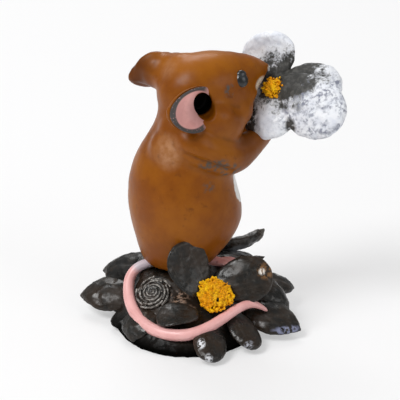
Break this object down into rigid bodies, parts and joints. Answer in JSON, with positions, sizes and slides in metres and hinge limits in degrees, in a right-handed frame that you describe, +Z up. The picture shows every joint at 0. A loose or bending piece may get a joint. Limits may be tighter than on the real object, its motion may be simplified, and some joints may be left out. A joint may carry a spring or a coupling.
{
  "type": "mouse figurine",
  "caption": "Cast and painted mouse figurine standing on a mound of leaves, holding an open flower to its nose, with a long tail curled round the mound's front.",
  "frame": {"origin": "centre of the mound's flat underside, where the figurine stands", "axes": "+X from the mouse's back towards the flower, +Y towards the mouse's left side, +Z up"},
  "size_m": [0.0673, 0.0551, 0.0718],
  "materials": {
    "brown_paint": "satin",
    "ear_paint": "satin",
    "pink_paint": "satin",
    "black_enamel": "gloss",
    "yellow_paint": "matt",
    "white_paint": "matt",
    "stalk_paint": "satin",
    "leaf_paint": "semi-gloss"
  },
  "bodies": {
    "root": {"base_flower_eye": "yellow_paint", "base_mound": "leaf_paint", "base_petal_front": "leaf_paint", "base_petal_front_right": "leaf_paint", "base_petal_left": "leaf_paint", "base_petal_right": "leaf_paint", "base_petal_upright": "leaf_paint", "flower_calyx": "stalk_paint", "flower_eye": "yellow_paint", "flower_petal_bottom": "white_paint", "flower_petal_left": "white_paint", "flower_petal_lower_right": "white_paint", "flower_petal_top": "white_paint", "flower_petal_upper_right": "white_paint", "flower_stem": "stalk_paint", "leaf_back": "leaf_paint", "leaf_back_left": "leaf_paint", "leaf_curled": "leaf_paint", "leaf_front_left": "leaf_paint", "leaf_left_high": "leaf_paint", "leaf_left_low": "leaf_paint", "leaf_pale": "leaf_paint", "leaf_right_fold": "leaf_paint", "leaf_right_high": "leaf_paint", "leaf_right_low": "leaf_paint", "leaf_spike": "leaf_paint", "left_arm": "brown_paint", "left_ear": "ear_paint", "left_eye": "black_enamel", "left_foot": "pink_paint", "left_paw": "pink_paint", "mouse_body": "brown_paint", "mouse_head": "brown_paint", "right_arm": "brown_paint", "right_ear": "ear_paint", "right_eye": "black_enamel", "right_foot": "pink_paint", "right_paw": "pink_paint", "rosebud": "leaf_paint", "tail": "pink_paint"}
  },
  "joints": []
}
